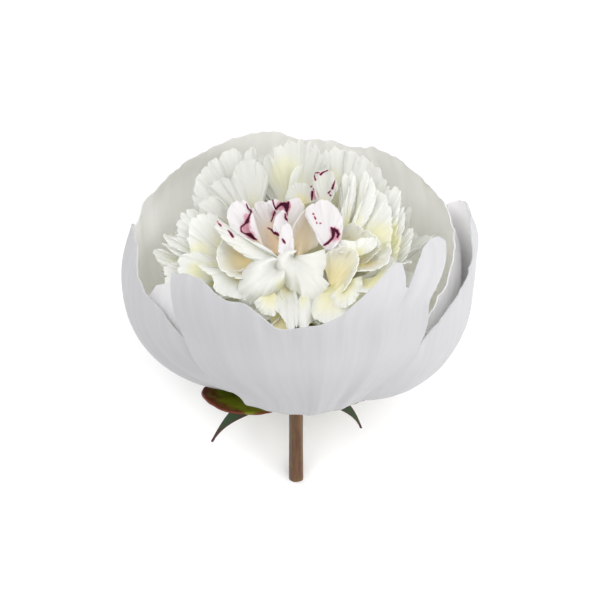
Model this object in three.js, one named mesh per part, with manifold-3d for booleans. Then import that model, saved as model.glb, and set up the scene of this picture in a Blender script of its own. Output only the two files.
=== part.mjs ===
// A double white peony, cut from its plant with a short stem and laid on its side.
// Millimetres. The bloom is drawn upright round its own axis, with the receptacle at the origin, and is then leaned
// back until a back petal and the cut end of the stem rest on the surface, at z = 0.
import * as THREE from "three";
import { mergeVertices } from "three/addons/utils/BufferGeometryUtils.js";
import Module from "manifold-3d";

const wasm = await Module();
wasm.setup();

// Driving sizes.
const BOWL_RADIUS = 61; // outside of the cup of guard petals, at its widest
const BOWL_DEPTH = 45; // from the receptacle up to that widest level
const BACK_TALLER = 20; // how much further than that the cup would close over at the back
const LAYER = 1.8; // from one layer of guard petals to the next
const GUARD_THICK = 0.7;
const INNER_THICK = 0.6;
const SEPAL_THICK = 0.8;
const ROOT_POLAR = 7; // degrees from the bottom of the cup where the guard petals start
const INNER_LIMIT = 4.2 * LAYER; // inner petals stay inside a cup this much smaller
const STEM_RADIUS = 2.6;
const STEM_LENGTH = 38.2;
const STEM_ASIDE = -1.2; // the stem meets the receptacle a little left of its middle
const LEAN_BACK = 51; // degrees between the bloom's axis and upright
const REST_HEIGHT = 26.1; // receptacle above the surface; the lowest petal is pressed flat there
const REST_ASIDE = -0.7; // receptacle from the middle of the whole flower, seen from above
const REST_BEHIND = -30.1;

const rad = THREE.MathUtils.degToRad;
const clamp = THREE.MathUtils.clamp;

function smooth(t) {
  const x = clamp(t, 0, 1);
  return x * x * (3 - 2 * x);
}

// The height at t of a smooth curve through the knots [t, height].
function through(knots, t) {
  const last = knots.length - 1;
  let i = 0;
  while (i < last - 1 && t > knots[i + 1][0]) i += 1;
  const slope = (k) => {
    const a = knots[Math.max(k - 1, 0)];
    const b = knots[Math.min(k + 1, last)];
    return (b[1] - a[1]) / (b[0] - a[0]);
  };
  const [t0, low] = knots[i];
  const [t1, high] = knots[i + 1];
  const span = t1 - t0;
  const x = clamp((t - t0) / span, 0, 1);
  const x2 = x * x;
  const x3 = x2 * x;
  return (
    (2 * x3 - 3 * x2 + 1) * low +
    (x3 - 2 * x2 + x) * span * slope(i) +
    (3 * x2 - 2 * x3) * high +
    (x3 - x2) * span * slope(i + 1)
  );
}

// A repeatable draw between -1 and 1.
function scatter(seed, draw) {
  const x = Math.sin(seed * 12.9898 + draw * 78.233) * 43758.5453;
  return 2 * (x - Math.floor(x)) - 1;
}

// ---- Guard petals: patches of nested cups -------------------------------------------------------------------------

// facing: degrees round the axis, 0 at the front and 90 to the right. spread: half the width, in degrees.
// rim: [place across the petal from -1 to 1, polar angle of the edge there, 180 straight up the axis].
// layers: how deep the left edge, the middle and the right edge lie under the outermost cup. waist: how narrow the
// petal is below the polar angle of waistEnd. flare: how far it opens outwards at the rim.
const GUARDS = [
  {
    name: "guard_petal_front",
    facing: 6,
    spread: 55,
    layers: [0, 0, 0],
    waist: 0.56,
    waistEnd: 70,
    flare: 0,
    across: 14,
    up: 7,
    rim: [
      [-1, 107], [-0.84, 113], [-0.62, 112.5], [-0.4, 109.5], [-0.2, 103.5], [-0.1, 104],
      [0.12, 108], [0.3, 114.5], [0.47, 120], [0.57, 122.5], [0.625, 112], [0.7, 121.5],
      [0.86, 126.5], [0.95, 125], [1, 116],
    ],
  },
  {
    name: "guard_petal_right",
    facing: 84,
    spread: 52,
    layers: [1.2, 0.6, 1],
    waist: 0.7,
    waistEnd: 10,
    flare: 6.5,
    across: 12,
    up: 7,
    rim: [
      [-1, 66], [-0.85, 86], [-0.7, 91.5], [-0.5, 97], [-0.33, 99], [-0.1, 107],
      [0.08, 113.5], [0.24, 117.5], [0.38, 117], [0.55, 110], [0.75, 98], [1, 80],
    ],
  },
  {
    name: "guard_petal_left",
    facing: -88,
    spread: 50,
    layers: [1, -0.2, 1],
    waist: 0.7,
    waistEnd: 10,
    flare: 0,
    across: 10,
    up: 7,
    rim: [[-1, 75], [-0.7, 85], [-0.4, 98], [-0.12, 107], [0, 113], [0.25, 108], [0.62, 103.5], [0.78, 92], [1, 78]],
  },
  {
    name: "guard_petal_back",
    facing: 178,
    spread: 42,
    layers: [0, 0, 0],
    waist: 0.7,
    waistEnd: 10,
    flare: 0,
    across: 12,
    up: 12,
    rim: [[-1, 92], [-0.7, 106], [-0.3, 114], [0, 115], [0.3, 115], [0.7, 108], [1, 94]],
  },
  {
    name: "guard_petal_back_right",
    facing: 124,
    spread: 60,
    layers: [2, 2, 2],
    waist: 0.7,
    waistEnd: 10,
    flare: 0,
    across: 12,
    up: 7,
    rim: [[-1, 88], [-0.7, 98], [-0.28, 106], [0, 112.5], [0.3, 118], [0.6, 115.5], [0.75, 117], [0.9, 115], [1, 108]],
  },
  {
    name: "guard_petal_back_left",
    facing: -130,
    spread: 58,
    layers: [3, 2.4, 2],
    waist: 0.7,
    waistEnd: 10,
    flare: 0,
    across: 12,
    up: 7,
    rim: [
      [-1, 108], [-0.81, 118.5], [-0.65, 121], [-0.43, 122.5], [-0.15, 121], [0.02, 119],
      [0.24, 115], [0.41, 106], [0.7, 100], [1, 92],
    ],
  },
  {
    name: "guard_petal_inner_left",
    facing: -64,
    spread: 22,
    layers: [3.3, 3, 2.6],
    waist: 0.7,
    waistEnd: 10,
    flare: 0,
    across: 6,
    up: 6,
    rim: [[-1, 98], [-0.6, 107], [0, 110], [0.5, 111], [1, 102]],
  },
];

// How much higher the cup would close at this azimuth than at the front.
function tallerBy(around) {
  const back = (1 - Math.cos(rad(around))) / 2;
  return BACK_TALLER * back * back;
}

// A point of the cup that lies this far inside the outermost one.
function cupPoint(inset, polar, around, flare = 0) {
  const taller = polar > 90 ? tallerBy(around) : 0;
  const radius = (BOWL_RADIUS - inset) * Math.sin(rad(polar)) + flare;
  return new THREE.Vector3(
    radius * Math.sin(rad(around)),
    -radius * Math.cos(rad(around)),
    BOWL_DEPTH - (BOWL_DEPTH - inset + taller) * Math.cos(rad(polar)),
  );
}

function guardPoint(petal, u, v) {
  const polar = ROOT_POLAR + (through(petal.rim, u) - ROOT_POLAR) * v;
  const widen = smooth((polar - petal.waistEnd) / 42);
  const around = petal.facing + petal.spread * u * (petal.waist + (1 - petal.waist) * widen);
  const [left, middle, right] = petal.layers;
  const layer = middle + ((u < 0 ? left : right) - middle) * smooth(Math.abs(u));
  const flare = petal.flare * smooth((polar - 88) / 24) * smooth((u + 0.5) / 0.6);
  return cupPoint(LAYER * layer, polar, around, flare);
}

// ---- Inner petals: blades on a bent midrib ------------------------------------------------------------------------

// Rings of petals round the inside of the cup. tip: [distance from the axis, height] at the sides of the bloom.
const RINGS = [
  { count: 10, turn: 9, tip: [49, 52], half: 12, cup: 45, rise: 8 },
  { count: 9, turn: 28, tip: [44, 60], half: 12, cup: 50, rise: 12 },
];

// The petals above them: facing, distance of the tip from the axis, its height, half width, cup, twist.
// cup: how far the sides curl towards the axis, in degrees; less than 0 curls them over the front.
const PLACED = [
  // the back, where broad petals stand upright
  [-179, 36, 78, 16, 35, 0], [151, 37, 75, 12, 35, 0], [-150, 36, 76, 9, 45, 0], [-125, 41, 75, 10, 45, 0],
  [159, 23, 74, 6, 60, 0],
  // the right
  [146, 29, 73, 7, 60, 0], [113, 34, 69, 11, 50, 0], [87, 38, 64, 9, 50, -15], [73, 27, 62, 8, 60, 0],
  [58, 34, 57, 9, 60, 0],
  // the left
  [-103, 34, 68, 9, 55, 10], [-90, 39, 64, 9, 50, 0], [-78, 46, 61, 8, 50, 0], [-60, 43, 57, 9, 50, 0],
  [-48, 33, 59, 8, 80, 0], [-85, 27, 65, 9, 30, -20],
  // the front, where they bow over
  [-40, 40, 53, 9, 50, 0], [-20, 38, 53, 9, -50, 0], [-4, 42, 49, 5, -30, 0], [5, 34, 54, 10, -40, 0],
  [18, 41, 50, 9, 40, 0], [42, 37, 53, 9, 40, 0], [32, 31, 55, 8, 60, 0],
  // the heart
  [-113, 20, 67, 8, 70, 10], [-151, 12, 67, 7, 60, 0], [131, 12, 68, 8, 60, 0], [-30, 14, 64, 6, 30, 0],
];

function innerPetals() {
  const ringed = RINGS.flatMap((ring, level) =>
    Array.from({ length: ring.count }, (_, i) => {
      const seed = level * 40 + i + 1;
      const facing = ring.turn + (360 / ring.count) * (i + 0.3 * scatter(seed, 1));
      const height = ring.tip[1] - ring.rise * Math.cos(rad(facing)) + 2 * scatter(seed, 2);
      const half = ring.half * (1 + 0.15 * scatter(seed, 4));
      return [facing, ring.tip[0] + 2 * scatter(seed, 3), height, half, ring.cup, 20 * scatter(seed, 5)];
    }),
  );
  return [...ringed, ...PLACED].map(([facing, out, height, half, cup, twist], i) => {
    const front = smooth((Math.cos(rad(facing)) + 1) / 2);
    return {
      seed: i + 1,
      facing,
      root: [7, out > 40 ? 10 : 15],
      bend: [out * (0.4 - 0.2 * front), height - 30 + 44 * front],
      tip: [out, height],
      half,
      cup,
      twist,
    };
  });
}

// Pulls a point that leaves the space inside the guard petals back into it.
function insideCup(p) {
  const room = BOWL_RADIUS - INNER_LIMIT;
  const deep = BOWL_DEPTH - INNER_LIMIT;
  const around = THREE.MathUtils.radToDeg(Math.atan2(p.x, -p.y));
  const tall = p.z > BOWL_DEPTH ? deep + tallerBy(around) : deep;
  const share = Math.hypot(p.x / room, p.y / room, (p.z - BOWL_DEPTH) / tall);
  if (share <= 0.85) return p;
  const kept = (0.85 + 0.15 * Math.tanh((share - 0.85) / 0.15)) / share;
  return new THREE.Vector3(p.x * kept, p.y * kept, BOWL_DEPTH + (p.z - BOWL_DEPTH) * kept);
}

function innerPoint(petal, u, v) {
  const { seed } = petal;
  const notch = 0.07 * Math.abs(Math.sin(2.6 * u + 3 * scatter(seed, 6)));
  const round = 0.3 * (1 - Math.sqrt(1 - 0.8 * u * u));
  const along = (0.3 + 0.7 * v) * (1 - round - notch * smooth(v));
  const a = (1 - along) * (1 - along);
  const b = 2 * along * (1 - along);
  const c = along * along;
  const out = a * petal.root[0] + b * petal.bend[0] + c * petal.tip[0];
  const up = a * petal.root[1] + b * petal.bend[1] + c * petal.tip[1];
  const run = (1 - along) * (petal.bend[0] - petal.root[0]) + along * (petal.tip[0] - petal.bend[0]);
  const rise = (1 - along) * (petal.bend[1] - petal.root[1]) + along * (petal.tip[1] - petal.bend[1]);
  const lean = Math.atan2(run, rise);
  const half = petal.half * (0.3 + 0.7 * smooth(along / 0.75)) * (1 - 0.15 * smooth((along - 0.8) / 0.2));
  const curl = rad(petal.cup) * (0.4 + 0.6 * along);
  const side = (half * Math.sin(curl * u)) / curl;
  const depth = (half * (1 - Math.cos(curl * u))) / curl + 0.8 * Math.sin(4 * u + 5 * scatter(seed, 7)) * along;
  const twist = rad(petal.twist) * along;
  const across = side * Math.cos(twist) - depth * Math.sin(twist);
  const inward = side * Math.sin(twist) + depth * Math.cos(twist);
  const radius = out - inward * Math.cos(lean);
  const height = up + inward * Math.sin(lean);
  const around = rad(petal.facing);
  return insideCup(
    new THREE.Vector3(
      radius * Math.sin(around) + across * Math.cos(around),
      -radius * Math.cos(around) + across * Math.sin(around),
      height,
    ),
  );
}

// ---- Sepals: green blades under the cup ---------------------------------------------------------------------------

// The three broad ones hug the cup. reach: polar angle of the tip. away: how far the middle stands off.
const BROAD_SEPALS = [
  { name: "sepal_left", facing: -68, spread: 36, reach: 38, away: 3 },
  { name: "sepal_right", facing: 62, spread: 34, reach: 32, away: 1 },
  { name: "sepal_back", facing: 178, spread: 38, reach: 36, away: 0.5 },
];
const SEPAL_ROOT_POLAR = 6.6;
const SEPAL_CLEAR = 1.4; // under the outermost cup

// The leafy ones stand out below them and hang. root, bend and tip: [distance from the axis, height].
// turn: how far the blade is rolled about its midrib, in degrees.
const LEAFY_SEPALS = [
  { name: "leafy_sepal_left", facing: -82, root: [6, -3.6], bend: [21, -5], tip: [30, -19], half: 2.8, turn: 50 },
  { name: "leafy_sepal_right", facing: 86, root: [6, -3.6], bend: [18, -5], tip: [22, -16], half: 2, turn: -50 },
];

function broadSepalPoint(sepal, u, v) {
  const reach = sepal.reach - 8 * u * u - 2 * Math.abs(u);
  const polar = SEPAL_ROOT_POLAR + (reach - SEPAL_ROOT_POLAR) * v;
  const width = 1 - 0.4 * smooth((v - 0.5) / 0.5) * Math.abs(u);
  const away = sepal.away * Math.sin(2.8 * v);
  return cupPoint(-SEPAL_CLEAR - away, polar, sepal.facing + sepal.spread * u * width);
}

function leafySepalPoint(sepal, u, v) {
  const { root, bend, tip } = sepal;
  const [a, b, c] = [(1 - v) * (1 - v), 2 * v * (1 - v), v * v];
  const run = (1 - v) * (bend[0] - root[0]) + v * (tip[0] - bend[0]);
  const rise = (1 - v) * (bend[1] - root[1]) + v * (tip[1] - bend[1]);
  const lean = Math.atan2(run, rise);
  const turn = rad(sepal.turn * smooth(v * 2));
  const side = sepal.half * u * (0.7 + 0.3 * smooth(v * 3)) * (1 - 0.88 * smooth((v - 0.35) / 0.65));
  const out = a * root[0] + b * bend[0] + c * tip[0] + side * Math.sin(turn) * Math.cos(lean);
  const height = a * root[1] + b * bend[1] + c * tip[1] - side * Math.sin(turn) * Math.sin(lean);
  const across = side * Math.cos(turn);
  const around = rad(sepal.facing);
  return new THREE.Vector3(
    out * Math.sin(around) + across * Math.cos(around),
    -out * Math.cos(around) + across * Math.sin(around),
    height,
  );
}

// ---- Blades as solids ---------------------------------------------------------------------------------------------

// A closed blade of this thickness on a surface point(u, v), with u from -1 to 1 across it and v from 0 to 1 up it.
// settle, where given, moves the finished vertices of each face: side is 1 on the face towards +normal, else -1.
function blade(point, across, up, thick, settle = (p) => p) {
  const rows = [];
  const grid = (i, j) => point(-1 + (2 * i) / across, j / up);
  const step = 1e-3;
  for (let side = 1; side >= -1; side -= 2) {
    for (let j = 0; j <= up; j += 1) {
      for (let i = 0; i <= across; i += 1) {
        const u = clamp(-1 + (2 * i) / across, -1 + step, 1 - step);
        const v = clamp(j / up, step, 1 - step);
        const du = point(u + step, v).sub(point(u - step, v));
        const dv = point(u, v + step).sub(point(u, v - step));
        const normal = du.cross(dv).normalize();
        rows.push(settle(grid(i, j).addScaledVector(normal, (side * thick) / 2), side));
      }
    }
  }
  const wide = across + 1;
  const far = wide * (up + 1);
  const at = (i, j) => j * wide + i;
  const faces = [];
  const quad = (a, b, c, d) => faces.push(a, b, c, a, c, d);
  for (let j = 0; j < up; j += 1) {
    for (let i = 0; i < across; i += 1) {
      const [a, b, c, d] = [at(i, j), at(i + 1, j), at(i + 1, j + 1), at(i, j + 1)];
      faces.push(a, b, c, a, c, d);
      faces.push(far + a, far + c, far + b, far + a, far + d, far + c);
    }
  }
  for (let i = 0; i < across; i += 1) {
    quad(far + at(i, 0), far + at(i + 1, 0), at(i + 1, 0), at(i, 0));
    quad(at(i, up), at(i + 1, up), far + at(i + 1, up), far + at(i, up));
  }
  for (let j = 0; j < up; j += 1) {
    quad(at(0, j), at(0, j + 1), far + at(0, j + 1), far + at(0, j));
    quad(far + at(across, j), far + at(across, j + 1), at(across, j + 1), at(across, j));
  }
  const geometry = new THREE.BufferGeometry();
  geometry.setAttribute("position", new THREE.Float32BufferAttribute(rows.flatMap((p) => [p.x, p.y, p.z]), 3));
  geometry.setIndex(faces);
  return geometry;
}

function solidFrom(geometry) {
  geometry.deleteAttribute("normal");
  geometry.deleteAttribute("uv");
  const merged = mergeVertices(geometry, 1e-4);
  return new wasm.Manifold(
    new wasm.Mesh({
      numProp: 3,
      vertProperties: merged.attributes.position.array,
      triVerts: new Uint32Array(merged.index.array),
    }),
  );
}

function geometryFrom(solid) {
  const mesh = solid.getMesh();
  const geometry = new THREE.BufferGeometry();
  geometry.setAttribute("position", new THREE.BufferAttribute(mesh.vertProperties, 3));
  geometry.setIndex(new THREE.BufferAttribute(mesh.triVerts, 1));
  return geometry;
}

function lathe(profile, sides) {
  const geometry = new THREE.LatheGeometry(profile.map(([r, z]) => new THREE.Vector2(r, z)), sides);
  geometry.rotateX(Math.PI / 2);
  return geometry;
}

// ---- The object ---------------------------------------------------------------------------------------------------

const finish = (colour, roughness) => new THREE.MeshStandardMaterial({ color: colour, roughness, metalness: 0 });
const GUARD_WHITE = finish(0xe4e5e4, 0.6);
const INNER_CREAM = finish(0xece9d8, 0.6);
const SEPAL_GREEN = finish(0x5f6a22, 0.55);
const STEM_BROWN = finish(0x6b4a26, 0.6);

const bloom = new THREE.Group();

function add(name, geometry, material) {
  const mesh = new THREE.Mesh(geometry, material);
  mesh.name = name;
  bloom.add(mesh);
}

// Presses a vertex that would sink into the surface flat onto it, and the petal's inner face as far above.
function pressFlat(p, side) {
  const floor = side > 0 ? 0 : GUARD_THICK;
  const height = REST_HEIGHT + p.z * Math.cos(rad(LEAN_BACK)) - p.y * Math.sin(rad(LEAN_BACK));
  if (height >= floor) return p;
  const up = new THREE.Vector3(0, -Math.sin(rad(LEAN_BACK)), Math.cos(rad(LEAN_BACK)));
  return p.addScaledVector(up, floor - height);
}

for (const petal of GUARDS) {
  const geometry = blade((u, v) => guardPoint(petal, u, v), petal.across, petal.up, GUARD_THICK, pressFlat);
  add(petal.name, geometry, GUARD_WHITE);
}

// Past the core the petals stand free. Small pockets that they would close in between them are filled.
const core = lathe([[0, 7.4], [9, 7.4], [17, 12], [22, 22], [22, 34], [16, 44], [8, 49], [0, 50]], 16);
const petals = innerPetals().map((petal) =>
  solidFrom(blade((u, v) => innerPoint(petal, u, v), 4, 4, INNER_THICK)),
);
const skins = wasm.Manifold.union([solidFrom(core), ...petals]).decompose();
skins.sort((a, b) => b.volume() - a.volume());
add("inner_petals", geometryFrom(skins[0]), INNER_CREAM);

for (const sepal of BROAD_SEPALS) {
  add(sepal.name, blade((u, v) => broadSepalPoint(sepal, u, v), 6, 5, SEPAL_THICK), SEPAL_GREEN);
}
for (const sepal of LEAFY_SEPALS) {
  add(sepal.name, blade((u, v) => leafySepalPoint(sepal, u, v), 2, 7, SEPAL_THICK), SEPAL_GREEN);
}

const stem = lathe(
  [[0, -STEM_LENGTH], [STEM_RADIUS, -STEM_LENGTH], [STEM_RADIUS, -7], [3.6, -3], [5, 0], [5.2, 4], [3.6, 5.6], [0, 6]],
  12,
);
stem.translate(STEM_ASIDE, 0, 0);
add("stem", stem, STEM_BROWN);

const peony = new THREE.Group();
bloom.rotation.x = -rad(LEAN_BACK);
bloom.position.set(REST_ASIDE, REST_BEHIND, REST_HEIGHT);
peony.add(bloom);

export default peony;
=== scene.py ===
import bpy
import numpy as np
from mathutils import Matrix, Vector


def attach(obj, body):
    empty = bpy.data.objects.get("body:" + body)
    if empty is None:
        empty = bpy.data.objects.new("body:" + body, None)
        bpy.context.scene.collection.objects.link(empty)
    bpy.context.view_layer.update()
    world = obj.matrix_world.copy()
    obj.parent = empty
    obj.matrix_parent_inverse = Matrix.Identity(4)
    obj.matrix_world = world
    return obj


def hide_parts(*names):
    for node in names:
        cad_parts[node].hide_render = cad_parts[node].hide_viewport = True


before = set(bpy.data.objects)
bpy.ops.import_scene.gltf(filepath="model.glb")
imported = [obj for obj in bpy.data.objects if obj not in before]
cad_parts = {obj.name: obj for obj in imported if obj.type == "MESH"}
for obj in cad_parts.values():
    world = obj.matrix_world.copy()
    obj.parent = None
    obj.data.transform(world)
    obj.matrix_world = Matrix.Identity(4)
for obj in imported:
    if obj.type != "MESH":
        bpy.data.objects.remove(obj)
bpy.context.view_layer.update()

MM = 0.001

# Driving sizes, the same as the solids have. LAYER is the step from one layer of petals to the next. To lie
# down, the upright bloom leans back by LEAN_BACK and moves by REST.
BOWL_RADIUS = 61.0
BOWL_DEPTH = 45.0
BACK_TALLER = 20.0
LAYER = 1.8
ROOT_POLAR = 7.0
STEM_RADIUS = 2.6
STEM_LENGTH = 38.2
STEM_ASIDE = -1.2
LEAN_BACK = 51.0
REST = np.array([-0.7, -30.1, 26.1])
SEPAL_ROOT_POLAR = 6.6
SEPAL_CLEAR = 1.4

# How far inside the cup the inner petals stay, the hidden ones and the ones that show.
INNER_LIMIT = 4.2 * LAYER
SHOWN_LIMIT = 3.4 * LAYER

# Thickness of the finished blades.
GUARD_THICK = 0.45
INNER_THICK = 0.28
SEPAL_THICK = 0.8
SMOOTH_ANGLE = np.radians(50)

# The photograph looks at the upright bloom from this many degrees above level and from this far away, and
# shows this many pixels a millimetre there. Its middle is this far aside of the cup's middle and above it.
PICTURE = 600
PHOTO_ELEVATION = 28.0
PHOTO_DISTANCE = 800.0
PHOTO_SCALE = 2.9
AIM_ASIDE = 0.17
AIM_ABOVE = -8.97
FOCAL = PHOTO_SCALE * PHOTO_DISTANCE
SENSOR = 36.0
TILT = np.radians(PHOTO_ELEVATION)
RIGHT = np.array([1, 0, 0])
UP = np.array([0, np.sin(TILT), np.cos(TILT)])
TOWARDS = np.array([0, -np.cos(TILT), np.sin(TILT)])
AIM = np.array([0, 0, BOWL_DEPTH]) + AIM_ASIDE * RIGHT + AIM_ABOVE * UP
EYE = AIM + PHOTO_DISTANCE * TOWARDS

# The dome that the inner petals' tips lie on rises from the front to the back and towards its rim.
DOME_TOP = 60.0
DOME_SLOPE = 0.386
DOME_CURVE = 0.00284


# ---- Curves and draws ----


def smooth(t):
    t = np.clip(t, 0, 1)
    return t * t * (3 - 2 * t)


def ease(t, start, run):
    """0 up to the start, 1 from the end of the run, and smooth between them."""
    return smooth((t - start) / run)


def through(knots, t):
    """The height at t of a smooth curve through the knots (t, height)."""
    at, height = np.array(knots, float).T
    slope = np.gradient(height, at)
    slope[1:-1] = (height[2:] - height[:-2]) / (at[2:] - at[:-2])
    i = np.clip(np.searchsorted(at, t) - 1, 0, len(at) - 2)
    span = at[i + 1] - at[i]
    x = np.clip((t - at[i]) / span, 0, 1)
    low = (2 * x**3 - 3 * x**2 + 1) * height[i] + (x**3 - 2 * x**2 + x) * span * slope[i]
    high = (3 * x**2 - 2 * x**3) * height[i + 1] + (x**3 - x**2) * span * slope[i + 1]
    return low + high


def spaced(values, u):
    """A value that is given at even places from the left edge of a petal to its right edge."""
    return through(list(zip(np.linspace(-1, 1, len(values)), values)), u)


def bezier(knots, t):
    a, b, c = np.array(knots, float)
    t = t[:, None]
    return (1 - t) ** 2 * a + 2 * (1 - t) * t * b + t**2 * c


def scatter(seed, draw):
    """A repeatable draw between -1 and 1."""
    x = np.sin(seed * 12.9898 + draw * 78.233) * 43758.5453
    return 2 * (x - np.floor(x)) - 1


def ripple(t, seed, waves):
    """A smooth random line between about -1 and 1, with this many waves over a run of 2."""
    total = 0
    for k in range(4):
        turns = waves * (0.55 + 0.3 * k + 0.12 * scatter(seed, 20 + k))
        total = total + np.sin(np.pi * turns * t + 3.1 * scatter(seed, 30 + k)) / (1.4 + 0.6 * k)
    return total / 1.6


def lay_down(points):
    """Bloom coordinates in millimetres to the frame's metres."""
    lean = np.radians(-LEAN_BACK)
    x, y, z = points.T
    turned = np.stack([x, y * np.cos(lean) - z * np.sin(lean), y * np.sin(lean) + z * np.cos(lean)], axis=1)
    return (turned + REST) * MM


# ---- Sheets that become petals ----

# What a petal's vertices carry: its foot's tint, which is partly painted shade and also carries patches of
# painted cream shade, that tint's hue from cream (0) to orange (1), and crimson.
MARKS = ("foot_tint_and_painted_shade", "hue", "crimson")


def select_only(*pieces):
    bpy.ops.object.select_all(action="DESELECT")
    for piece in pieces:
        piece.select_set(True)
    bpy.context.view_layer.objects.active = pieces[0]


def places_of(mesh):
    at = np.empty(len(mesh.vertices) * 3)
    mesh.vertices.foreach_get("co", at)
    return at.reshape(-1, 3)


def sheet(name, columns, rows, shape):
    """A grid whose places, u from -1 to 1 across and v from 0 to 1 up, shape(u, v) moves and marks."""
    bpy.ops.object.select_all(action="DESELECT")
    bpy.ops.mesh.primitive_grid_add(x_subdivisions=columns, y_subdivisions=rows, size=2)
    piece = bpy.context.object
    piece.name = name
    mesh = piece.data
    grid = places_of(mesh)
    u, v = grid[:, 0], (grid[:, 1] + 1) / 2
    points, marks = shape(u, v)
    mesh.vertices.foreach_set("co", lay_down(points).ravel())
    for label in MARKS:
        attribute = mesh.attributes.new(label, "FLOAT", "POINT")
        attribute.data.foreach_set("value", marks.get(label, np.zeros(len(u))))
    mesh.update()
    return piece


def joined(name, pieces):
    select_only(*pieces)
    bpy.ops.object.join()
    pieces[0].name = name
    return pieces[0]


def thicken(piece, thick, inner_slot):
    """Gives a sheet its thickness, its inner side in this material slot, and keeps it above the floor."""
    select_only(piece)
    wall = piece.modifiers.new("wall", "SOLIDIFY")
    wall.thickness = thick * MM
    wall.offset = 0
    wall.material_offset = inner_slot
    bpy.ops.object.modifier_apply(modifier=wall.name)
    mesh = piece.data
    at = places_of(mesh)
    at[:, 2] = np.maximum(at[:, 2], 0)
    mesh.vertices.foreach_set("co", at.ravel())
    mesh.update()
    bpy.ops.object.shade_smooth_by_angle(angle=SMOOTH_ANGLE)


def finished(piece, thick, materials, slot, *nodes):
    """Gives the piece its materials and its thickness, and says what it rides on and stands for."""
    for material in materials:
        piece.data.materials.append(material)
    thicken(piece, thick, len(materials) - 1)
    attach(piece, "root")
    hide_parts(*nodes)


# ---- Materials ----

# Petal tissues: the colours of the tip, of a cream foot and of an orange foot, and the light let through. The
# feet's colours are partly the tissue's own and partly painted shade in the hollows and gaps.
TISSUES = {
    # Painted shade: the guards' outsides are darkened to a grey lilac, with a lighter copy for the guards
    # that stand behind others.
    "guard_outside_painted_shade": ((0.585, 0.585, 0.6), (0.41, 0.4, 0.34), (0.41, 0.4, 0.34), 0.25),
    "guard_outside_lighter_painted_shade": ((0.76, 0.76, 0.77), (0.64, 0.63, 0.55), (0.64, 0.63, 0.55), 0.25),
    "guard_inside": ((0.985, 0.98, 0.97), (0.98, 0.975, 0.94), (0.98, 0.975, 0.94), 0.05),
    "inner_tissue": ((0.89, 0.895, 0.875), (0.9, 0.89, 0.66), (0.95, 0.82, 0.5), 0.5),
    # Painted shade: the back petals' tissue is a darker copy of the inner tissue.
    "back_tissue_painted_shade": ((0.835, 0.84, 0.815), (0.86, 0.85, 0.66), (0.88, 0.75, 0.46), 0.6),
    "heart_tissue": ((0.88, 0.865, 0.88), (0.9, 0.88, 0.74), (0.95, 0.81, 0.6), 0.5),
}
VEIN_SHADE = 0.97
CRIMSON_INK = (0.075, 0.001, 0.024)
CRIMSON_HALO = (0.7, 0.2, 0.33)

# Sepal tissues: green, blush, and how near the margin (1) the blush starts.
LEAVES = {
    "broad_sepal_tissue": ((0.16, 0.19, 0.008), (0.14, 0.035, 0.015), 0.7),
    "leafy_sepal_tissue": ((0.035, 0.065, 0.03), (0.09, 0.018, 0.025), 0.75),
}
PALE_VEINS = 1.5

STEM_BROWN = (0.075, 0.026, 0.01)
STEM_TAN = (0.15, 0.07, 0.024)
STEM_OLIVE = (0.13, 0.09, 0.02)

# Long cells of noise, which make veins and fibres: how many across a sheet and up it, or a metre of the stem.
PETAL_CELLS = (46, 2.6, 1)
LEAF_CELLS = (26, 1.6, 1)
STEM_CELLS = (900, 900, 60)

# Round cells of noise, this many a metre: clouds in the colours, and the grain that makes crimson ragged.
PETAL_CLOUD = 120.0
LEAF_CLOUD = 260.0
STEM_CLOUD = 220.0
CRIMSON_GRAIN = 1600.0

# How deep veins and fibres are, in metres.
PETAL_VEIN = 0.0003
LEAF_VEIN = 0.0004
STEM_FIBRE = 0.0005


def new_material(name):
    material = bpy.data.materials.new(name)
    material.use_nodes = True
    tree = material.node_tree
    return material, tree, tree.nodes["Principled BSDF"]


def feed(tree, socket, value):
    """Links the socket to another one, or sets it to a value."""
    if isinstance(value, bpy.types.NodeSocket):
        tree.links.new(value, socket)
    else:
        socket.default_value = value


def node(tree, kind, settings=None, **inputs):
    """A node with its settings. Its inputs, by name or as i0, i1 and so on, are fed a socket or a value."""
    made = tree.nodes.new(kind)
    for key, value in (settings or {}).items():
        setattr(made, key, value)
    for key, value in inputs.items():
        by_number = key[0] == "i" and key[1:].isdigit()
        feed(tree, made.inputs[int(key[1:]) if by_number else key], value)
    return made


def maths(tree, operation, a, b=0.0):
    return node(tree, "ShaderNodeMath", {"operation": operation}, i0=a, i1=b).outputs[0]


def spread(tree, value, low, high, to_low=0.0, to_high=1.0):
    """The value from low to high, eased, as a number from to_low to to_high."""
    made = node(tree, "ShaderNodeMapRange", {"interpolation_type": "SMOOTHSTEP"})
    for i, fed in enumerate((value, low, high, to_low, to_high)):
        feed(tree, made.inputs[i], fed)
    return made.outputs[0]


def blend(tree, factor, a, b):
    """A mix of two colours, each a socket or three numbers."""
    made = node(tree, "ShaderNodeMix", {"data_type": "RGBA"}, i0=factor)
    for i, colour in ((6, a), (7, b)):
        feed(tree, made.inputs[i], (*colour, 1) if isinstance(colour, tuple) else colour)
    return made.outputs[2]


def noise(tree, place, scale, detail, roughness=0.5):
    settings = {"Scale": scale, "Detail": detail, "Roughness": roughness}
    return node(tree, "ShaderNodeTexNoise", i0=place, **settings).outputs[0]


def long_noise(tree, place, cells, detail, roughness=0.5):
    stretched = node(tree, "ShaderNodeMapping", i0=place, Scale=cells).outputs[0]
    return noise(tree, stretched, 1.0, detail, roughness)


def uneven(tree, value, cloud, height):
    """The value with a noise added to it, from half the height below it to half above."""
    return maths(tree, "ADD", value, maths(tree, "MULTIPLY", maths(tree, "SUBTRACT", cloud, 0.5), height))


def on_sheet(tree):
    return node(tree, "ShaderNodeUVMap", {"uv_map": "UVMap"}).outputs[0]


def in_space(tree):
    return node(tree, "ShaderNodeTexCoord").outputs["Object"]


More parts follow.
